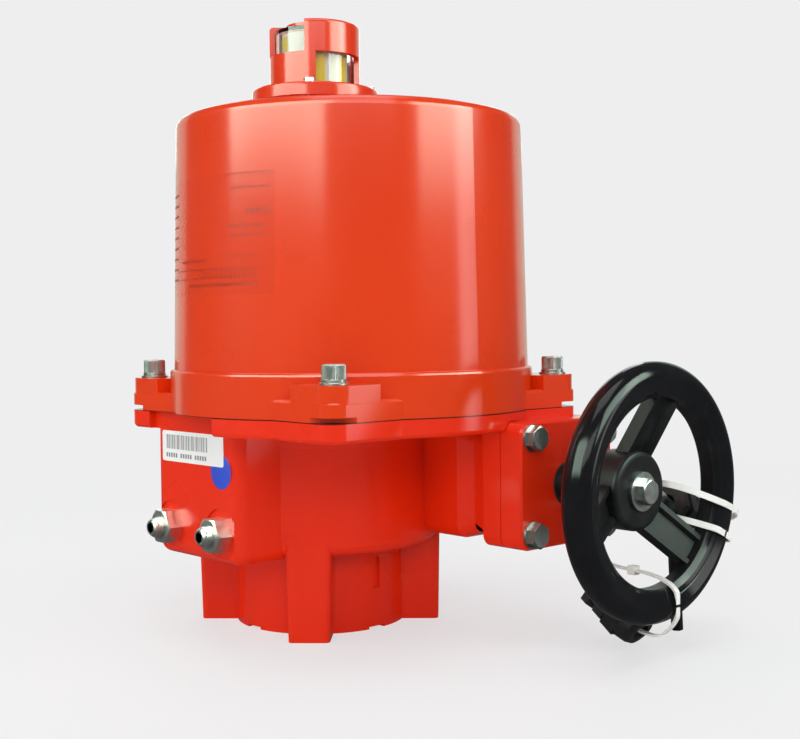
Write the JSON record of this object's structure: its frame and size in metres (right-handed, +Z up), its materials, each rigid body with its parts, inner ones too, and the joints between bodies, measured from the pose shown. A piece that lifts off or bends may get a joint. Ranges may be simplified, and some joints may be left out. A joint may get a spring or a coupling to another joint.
{
  "type": "electric valve actuator",
  "caption": "Quarter-turn electric valve actuator with a round motor cover, worm gear casting, position indicator and handwheel.",
  "frame": {"origin": "centre of the mounting face, on the axis of the output drive", "axes": "+Z up along the output drive, +X towards the handwheel, -Y towards the stop screws"},
  "size_m": [0.3108, 0.2713, 0.374],
  "materials": {
    "orange_paint": "glossy powder coat",
    "zinc_steel": "zinc plated",
    "stainless": "machined stainless steel",
    "turned_steel": "turned and oiled",
    "bronze": "machined bronze",
    "black_rubber": "matt",
    "motor_paint": "satin black",
    "cam_plastic": "moulded white",
    "switch_plastic": "moulded black",
    "board": "green laminate",
    "block_plastic": "moulded grey",
    "capacitor_can": "white can",
    "heater_alloy": "extruded",
    "clear_lens": "clear polycarbonate",
    "drum_plastic": "yellow and white bands",
    "wheel_plastic": "glossy black",
    "black_plastic": "moulded black",
    "black_steel": "black oxide",
    "white_nylon": "natural nylon"
  },
  "bodies": {
    "casing": {"capacitor": "capacitor_can", "capacitor_clip": "zinc_steel", "gear_cover": "orange_paint", "gear_cover_bolts": "zinc_steel", "gear_cover_bush": "bronze", "gear_cover_gasket": "black_rubber", "gear_cover_seal": "black_rubber", "gear_cover_washers": "zinc_steel", "heater": "heater_alloy", "housing": "orange_paint", "idler_pin": "turned_steel", "indicator_housing": "orange_paint", "indicator_lens": "clear_lens", "indicator_screws": "zinc_steel", "inner_plate": "zinc_steel", "inner_plate_screws": "zinc_steel", "limit_switches": "switch_plastic", "motor": "motor_paint", "motor_bracket": "zinc_steel", "motor_cover": "orange_paint", "motor_cover_screws": "zinc_steel", "motor_cover_seal": "black_rubber", "motor_cover_washers": "zinc_steel", "output_bush": "bronze", "output_seal": "black_rubber", "plate_bush": "bronze", "spindle_bush": "bronze", "stop_nuts": "stainless", "stop_screws": "stainless", "switch_bracket": "zinc_steel", "terminal_blocks": "block_plastic", "terminal_board": "board", "thrust_washer": "turned_steel", "worm_bearings": "turned_steel", "worm_end_plug": "turned_steel"},
    "output_drive": {"drive_sleeve": "turned_steel", "drive_key": "turned_steel", "worm_wheel": "bronze", "stop_cam": "turned_steel", "sleeve_ring": "zinc_steel", "indicator_spindle": "turned_steel", "indicator_drum": "drum_plastic", "closed_cam": "cam_plastic", "open_cam": "cam_plastic"},
    "worm_drive": {"worm_shaft": "turned_steel", "shaft_gear": "turned_steel", "shaft_gear_key": "turned_steel", "handwheel": "wheel_plastic", "handwheel_bolt": "zinc_steel", "handwheel_washer": "zinc_steel", "cable_gland_low": "black_plastic", "cable_gland_high": "black_plastic", "hex_key": "black_steel", "nylon_ties": "white_nylon"},
    "idler": {"idler_gear": "turned_steel"},
    "motor_drive": {"motor_rotor": "turned_steel"},
    "closed_button": {"closed_plunger": "cam_plastic"},
    "open_button": {"open_plunger": "cam_plastic"}
  },
  "joints": [
    {"name": "output_turn", "type": "hinge", "parent": "casing", "child": "output_drive", "pos_m": [0, 0, 0.1], "axis": [0, 0, 1], "range_deg": [0, 90]},
    {"name": "worm_turn", "type": "hinge", "parent": "casing", "child": "worm_drive", "pos_m": [0.1, 0.06125, 0.0918], "axis": [1, 0, 0], "range_deg": [0, 3420]},
    {"name": "idler_turn", "type": "hinge", "parent": "casing", "child": "idler", "pos_m": [0.074, 0.048, 0.14105], "axis": [1, 0, 0], "range_deg": [-3847.5, 0]},
    {"name": "motor_turn", "type": "hinge", "parent": "casing", "child": "motor_drive", "pos_m": [0.074, 0.048, 0.17405], "axis": [1, 0, 0], "range_deg": [0, 10260]},
    {"name": "closed_button_press", "type": "slide", "parent": "casing", "child": "closed_button", "axis": [0, -1, 0], "range_m": [0, 0.001], "stiffness_N_per_m": 200},
    {"name": "open_button_press", "type": "slide", "parent": "casing", "child": "open_button", "axis": [0, -1, 0], "range_m": [0, 0.001], "stiffness_N_per_m": 200}
  ],
  "couplings": [
    {"joint": "worm_turn", "follows": "output_turn", "ratio": 38},
    {"joint": "idler_turn", "follows": "output_turn", "ratio": -42.75},
    {"joint": "motor_turn", "follows": "output_turn", "ratio": 114}
  ]
}
